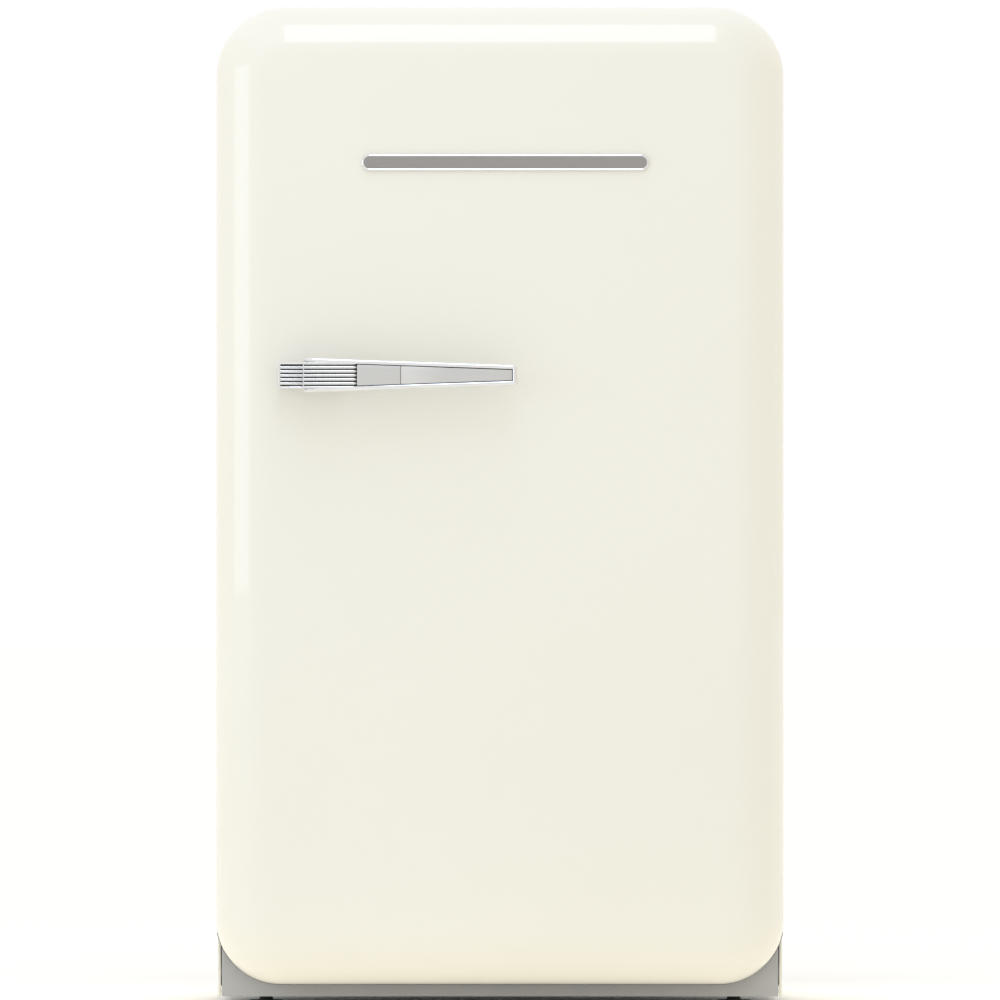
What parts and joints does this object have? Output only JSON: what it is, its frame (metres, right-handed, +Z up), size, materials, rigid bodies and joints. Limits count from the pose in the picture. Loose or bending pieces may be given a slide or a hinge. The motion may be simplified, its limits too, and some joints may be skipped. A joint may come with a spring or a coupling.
{
  "type": "mini fridge",
  "caption": "Retro single-door mini fridge with a rounded cream door, chrome lever handle, grey plinth, glass shelves, crisper, ice box, door bins, feet and rollers.",
  "frame": {"origin": "floor level at the centre of the footprint, handle included", "axes": "+Z up, the door faces -Y, +X to the right of someone facing the door"},
  "size_m": [0.543, 0.632, 0.96],
  "materials": {
    "cream_paint": "gloss enamel",
    "grey_paint": "satin",
    "black_paint": "satin",
    "zinc_steel": "zinc plated",
    "chrome": "polished",
    "satin_steel": "satin",
    "aluminium": "anodised",
    "copper": "drawn copper tube",
    "white_plastic": "smooth",
    "grey_plastic": "fine texture",
    "clear_plastic": "clear",
    "ice_plastic": "translucent",
    "black_plastic": "fine texture",
    "shelf_glass": "toughened",
    "lamp_glass": "frosted",
    "black_rubber": "matte",
    "gasket_rubber": "soft satin",
    "foam": null
  },
  "bodies": {
    "cabinet": {"cabinet_shell": "cream_paint", "back_panel": "zinc_steel", "base_plate": "zinc_steel", "rear_lip": "zinc_steel", "foot_nuts": "zinc_steel", "bay_panel": "zinc_steel", "insulation_foam": "foam", "inner_liner": "white_plastic", "shelf_rails": "white_plastic", "front_frame": "grey_paint", "plinth": "grey_plastic", "cabinet_hinge_leaves": "zinc_steel", "hinge_pins": "zinc_steel", "hinge_screws": "zinc_steel", "glass_shelves": "shelf_glass", "shelf_trims": "grey_plastic", "ice_box": "aluminium", "ice_flap_frame": "white_plastic", "lamp_housing": "white_plastic", "lamp_bulb": "lamp_glass", "lamp_lens": "ice_plastic", "drain_tube": "grey_plastic", "drip_tray": "black_plastic", "compressor": "black_paint", "compressor_bracket": "black_paint", "compressor_grommets": "black_rubber", "compressor_bolts": "zinc_steel", "relay_cover": "black_plastic", "refrigerant_lines": "copper", "filter_drier": "copper", "condenser_coil": "black_paint", "condenser_wires": "black_paint", "condenser_brackets": "black_plastic", "wall_spacers": "black_plastic", "cord_gland": "black_rubber", "roller_brackets": "zinc_steel", "roller_axles": "zinc_steel"},
    "door": {"door_skin": "cream_paint", "door_foam": "foam", "door_liner": "white_plastic", "bin_recess": "white_plastic", "door_gasket": "gasket_rubber", "door_hinge_leaves": "zinc_steel", "handle_base": "chrome", "handle_lever": "chrome", "handle_panel": "satin_steel", "badge": "chrome", "dairy_bin": "clear_plastic", "middle_bin": "clear_plastic", "bottle_bin": "clear_plastic", "bottle_rail": "chrome"},
    "dairy_lid": {"dairy_lid": "clear_plastic"},
    "crisper": {"crisper_drawer": "clear_plastic"},
    "ice_flap": {"ice_flap": "ice_plastic"},
    "thermostat_knob": {"thermostat_knob": "grey_plastic"},
    "switch_plunger": {"switch_plunger": "white_plastic"},
    "roller_left": {"rear_roller_left": "black_plastic"},
    "roller_right": {"rear_roller_right": "black_plastic"},
    "foot_left": {"front_foot_left": "black_plastic"},
    "foot_right": {"front_foot_right": "black_plastic"}
  },
  "joints": [
    {"name": "door_hinge", "type": "hinge", "parent": "cabinet", "child": "door", "pos_m": [0.2669, -0.194, 0.48], "axis": [0, 0, 1], "range_deg": [0, 105]},
    {"name": "dairy_lid_hinge", "type": "hinge", "parent": "door", "child": "dairy_lid", "pos_m": [0, -0.214, 0.79], "axis": [1, 0, 0], "range_deg": [0, 70]},
    {"name": "crisper_slide", "type": "slide", "parent": "cabinet", "child": "crisper", "axis": [0, -1, 0], "range_m": [0, 0.14]},
    {"name": "ice_flap_hinge", "type": "hinge", "parent": "cabinet", "child": "ice_flap", "pos_m": [0, 0.026, 0.886], "axis": [-1, 0, 0], "range_deg": [0, 85]},
    {"name": "thermostat_dial", "type": "hinge", "parent": "cabinet", "child": "thermostat_knob", "pos_m": [0.195, -0.048, 0.705], "axis": [-1, 0, 0], "range_deg": [0, 270]},
    {"name": "door_switch", "type": "slide", "parent": "cabinet", "child": "switch_plunger", "axis": [0, -1, 0], "range_m": [0, 0.008]},
    {"name": "left_roller_spin", "type": "hinge", "parent": "cabinet", "child": "roller_left", "pos_m": [-0.225, 0.25, 0.01], "axis": [1, 0, 0], "continuous": true},
    {"name": "right_roller_spin", "type": "hinge", "parent": "cabinet", "child": "roller_right", "pos_m": [0.225, 0.25, 0.01], "axis": [1, 0, 0], "continuous": true},
    {"name": "left_foot_height", "type": "slide", "parent": "cabinet", "child": "foot_left", "axis": [0, 0, -1], "range_m": [-0.004, 0.008]},
    {"name": "right_foot_height", "type": "slide", "parent": "cabinet", "child": "foot_right", "axis": [0, 0, -1], "range_m": [-0.004, 0.008]}
  ],
  "couplings": [
    {"joint": "crisper_slide", "follows": "door_hinge", "m_per_rad": 0.076393},
    {"joint": "door_switch", "follows": "door_hinge", "m_per_rad": 0.0043653}
  ]
}
